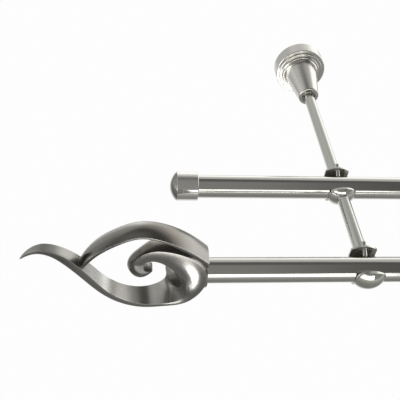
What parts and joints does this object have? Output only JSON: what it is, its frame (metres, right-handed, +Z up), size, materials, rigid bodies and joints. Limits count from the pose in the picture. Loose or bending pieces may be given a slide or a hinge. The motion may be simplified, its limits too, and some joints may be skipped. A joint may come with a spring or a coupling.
{
  "type": "double curtain pole",
  "caption": "Double curtain pole: parallel brushed tubes on cup-footed wall arms with open cradles, domed caps on the rear tube and pierced scroll finials with long tails on the front tube.",
  "frame": {"origin": "centre of the left bracket's face on the wall, on the axis of its arm", "axes": "+X along the poles to the right as seen from the room, +Y into the wall, +Z up"},
  "size_m": [1.394, 0.2433, 0.0696],
  "materials": {
    "brushed_pole": "satin, brushed along the pole",
    "satin_casting": "satin nickel over a zinc casting",
    "polished_casting": "polished",
    "polished_rod": "polished",
    "brushed_fitting": "satin, turned, with polished steps",
    "brushed_cap": "satin, finely turned",
    "zinc_plate": "zinc plated",
    "bright_screw": "nickel plated",
    "black_screw": "black oxide"
  },
  "bodies": {
    "root": {"front_pole": "brushed_pole", "rear_pole": "brushed_pole", "left_wall_plate": "zinc_plate", "left_wall_cup": "brushed_fitting", "left_cup_grub_screw": "black_screw", "left_cone_socket": "brushed_fitting", "left_cone_grub_screw": "black_screw", "left_rear_rod": "polished_rod", "left_rear_holder": "polished_casting", "left_rear_set_screw": "bright_screw", "left_front_rod": "polished_rod", "left_front_holder": "polished_casting", "left_front_set_screw": "bright_screw", "left_end_cap": "brushed_cap", "left_finial": "satin_casting", "left_finial_grub_screw": "black_screw", "right_wall_plate": "zinc_plate", "right_wall_cup": "brushed_fitting", "right_cup_grub_screw": "black_screw", "right_cone_socket": "brushed_fitting", "right_cone_grub_screw": "black_screw", "right_rear_rod": "polished_rod", "right_rear_holder": "polished_casting", "right_rear_set_screw": "bright_screw", "right_front_rod": "polished_rod", "right_front_holder": "polished_casting", "right_front_set_screw": "bright_screw", "right_end_cap": "brushed_cap", "right_finial": "satin_casting", "right_finial_grub_screw": "black_screw"}
  },
  "joints": []
}
